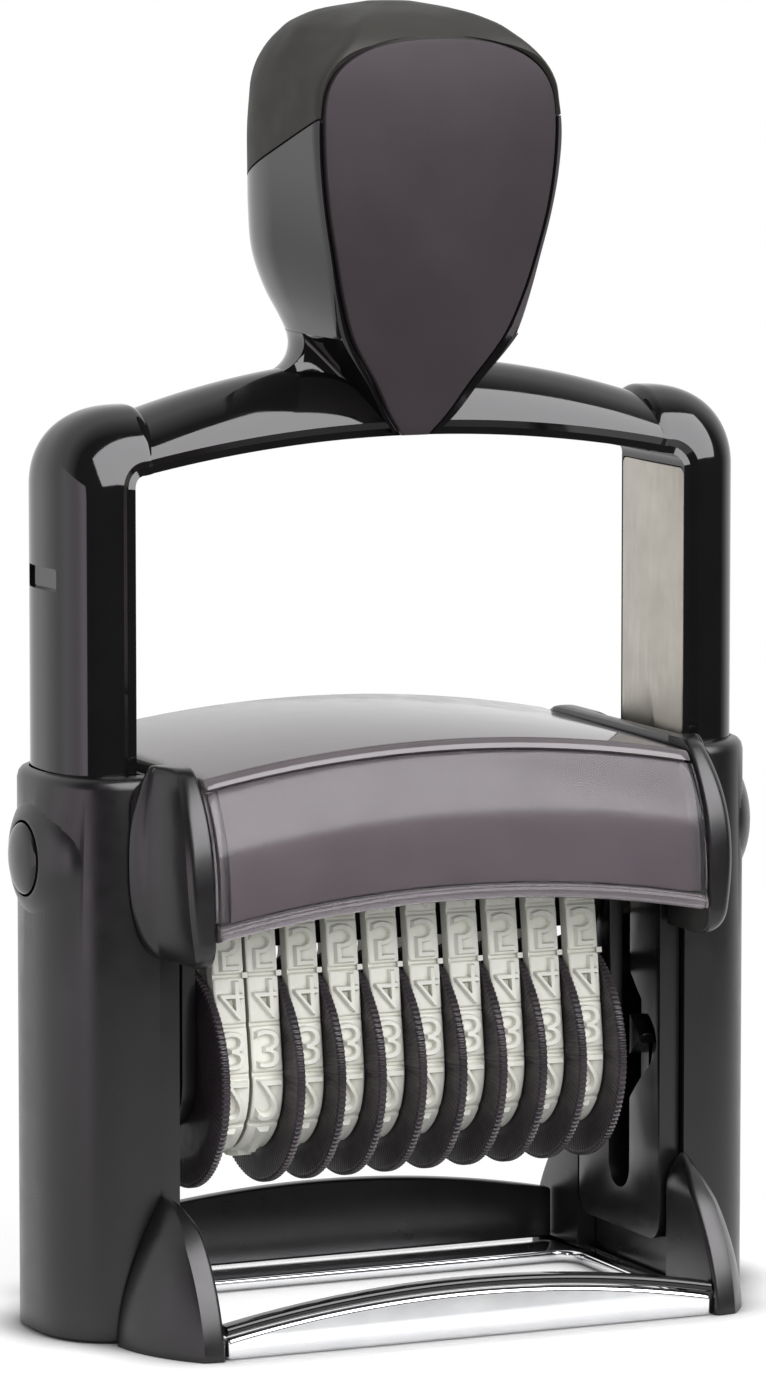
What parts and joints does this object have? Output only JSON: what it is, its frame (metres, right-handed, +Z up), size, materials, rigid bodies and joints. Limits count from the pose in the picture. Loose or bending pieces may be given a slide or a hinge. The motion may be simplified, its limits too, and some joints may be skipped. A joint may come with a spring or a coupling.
{
  "type": "numbering machine",
  "caption": "Self-inking numbering machine: a sprung press handle flips a band-wheel printing unit from its ink pad down to the paper through a base window.",
  "frame": {"origin": "the middle of the base, on the surface that the machine stands on", "axes": "+X to the machine's right, +Y to the rear, +Z up along the press stroke; the front is -Y"},
  "size_m": [0.1038, 0.056, 0.1704],
  "materials": {
    "gloss_black": "glossy injection-moulded plastic",
    "satin_black": "satin fine-textured plastic",
    "wheel_black": "satin plastic with a fine knurled edge",
    "soft_grip": "matte soft-touch grip",
    "plate_grey": "matte dark purple-grey plate",
    "smoke_plastic": "glossy smoke-grey plastic",
    "clear_plastic": "clear glossy plastic",
    "card": "grey paper card",
    "chrome": "bright chrome",
    "steel": "brushed warm steel",
    "spring_steel": "drawn spring wire",
    "band_rubber": "off-white printing rubber",
    "felt": "ink-soaked felt"
  },
  "bodies": {
    "housing": {"base_frame": "chrome", "front_strip": "chrome", "front_rim": "gloss_black", "rear_wall": "satin_black", "foot_front_right": "gloss_black", "foot_front_left": "gloss_black", "foot_rear_right": "gloss_black", "foot_rear_left": "gloss_black", "column_right": "satin_black", "column_left": "satin_black", "cam_plate_right": "satin_black", "cam_plate_left": "satin_black", "return_spring_right": "spring_steel", "return_spring_left": "spring_steel", "cover": "smoke_plastic", "index_window": "clear_plastic", "index_slip": "card", "rear_panel": "smoke_plastic", "cheek_right": "satin_black", "cheek_left": "satin_black"},
    "handle": {"yoke": "gloss_black", "leg_liner_right": "steel", "leg_liner_left": "steel", "grip_body": "gloss_black", "grip_cap": "soft_grip", "front_plate": "plate_grey"},
    "printing_unit": {"print_bridge": "satin_black", "wheel_axle": "steel", "flip_axle": "steel", "side_arm_right": "satin_black", "side_arm_left": "satin_black", "band_01": "band_rubber", "band_02": "band_rubber", "band_03": "band_rubber", "band_04": "band_rubber", "band_05": "band_rubber", "band_06": "band_rubber", "band_07": "band_rubber", "band_08": "band_rubber", "band_09": "band_rubber", "band_10": "band_rubber"},
    "pad": {"pad_tray": "satin_black", "ink_pad": "felt"},
    "lock_button_right": {"button_right": "gloss_black"},
    "lock_button_left": {"button_left": "gloss_black"},
    "wheel_01": {"wheel_01": "wheel_black"},
    "wheel_02": {"wheel_02": "wheel_black"},
    "wheel_03": {"wheel_03": "wheel_black"},
    "wheel_04": {"wheel_04": "wheel_black"},
    "wheel_05": {"wheel_05": "wheel_black"},
    "wheel_06": {"wheel_06": "wheel_black"},
    "wheel_07": {"wheel_07": "wheel_black"},
    "wheel_08": {"wheel_08": "wheel_black"},
    "wheel_09": {"wheel_09": "wheel_black"},
    "wheel_10": {"wheel_10": "wheel_black"}
  },
  "joints": [
    {"name": "handle_press", "type": "slide", "parent": "housing", "child": "handle", "axis": [0, 0, -1], "range_m": [0, 0.036], "stiffness_N_per_m": 450, "springref_m": -0.012, "deforming": ["return_spring_right", "return_spring_left"]},
    {"name": "die_flip", "type": "hinge", "parent": "handle", "child": "printing_unit", "pos_m": [0, 0, 0.0514], "axis": [-1, 0, 0], "range_deg": [0, 180]},
    {"name": "pad_slide", "type": "slide", "parent": "housing", "child": "pad", "axis": [0, 1, 0], "range_m": [0, 0.045]},
    {"name": "button_right_push", "type": "slide", "parent": "housing", "child": "lock_button_right", "axis": [-1, 0, 0], "range_m": [0, 0.0011], "stiffness_N_per_m": 400, "springref_m": -0.001},
    {"name": "button_left_push", "type": "slide", "parent": "housing", "child": "lock_button_left", "axis": [1, 0, 0], "range_m": [0, 0.0011], "stiffness_N_per_m": 400, "springref_m": -0.001},
    {"name": "wheel_01_turn", "type": "hinge", "parent": "printing_unit", "child": "wheel_01", "pos_m": [-0.02587, 0, 0.032], "axis": [1, 0, 0], "continuous": true},
    {"name": "wheel_02_turn", "type": "hinge", "parent": "printing_unit", "child": "wheel_02", "pos_m": [-0.02113, 0, 0.032], "axis": [1, 0, 0], "continuous": true},
    {"name": "wheel_03_turn", "type": "hinge", "parent": "printing_unit", "child": "wheel_03", "pos_m": [-0.01537, 0, 0.032], "axis": [1, 0, 0], "continuous": true},
    {"name": "wheel_04_turn", "type": "hinge", "parent": "printing_unit", "child": "wheel_04", "pos_m": [-0.00962, 0, 0.032], "axis": [1, 0, 0], "continuous": true},
    {"name": "wheel_05_turn", "type": "hinge", "parent": "printing_unit", "child": "wheel_05", "pos_m": [-0.00387, 0, 0.032], "axis": [1, 0, 0], "continuous": true},
    {"name": "wheel_06_turn", "type": "hinge", "parent": "printing_unit", "child": "wheel_06", "pos_m": [0.00187, 0, 0.032], "axis": [1, 0, 0], "continuous": true},
    {"name": "wheel_07_turn", "type": "hinge", "parent": "printing_unit", "child": "wheel_07", "pos_m": [0.00762, 0, 0.032], "axis": [1, 0, 0], "continuous": true},
    {"name": "wheel_08_turn", "type": "hinge", "parent": "printing_unit", "child": "wheel_08", "pos_m": [0.01337, 0, 0.032], "axis": [1, 0, 0], "continuous": true},
    {"name": "wheel_09_turn", "type": "hinge", "parent": "printing_unit", "child": "wheel_09", "pos_m": [0.01912, 0, 0.032], "axis": [1, 0, 0], "continuous": true},
    {"name": "wheel_10_turn", "type": "hinge", "parent": "printing_unit", "child": "wheel_10", "pos_m": [0.02488, 0, 0.032], "axis": [1, 0, 0], "continuous": true}
  ],
  "couplings": [
    {"joint": "die_flip", "follows": "handle_press", "rad_per_m": 87.266}
  ]
}
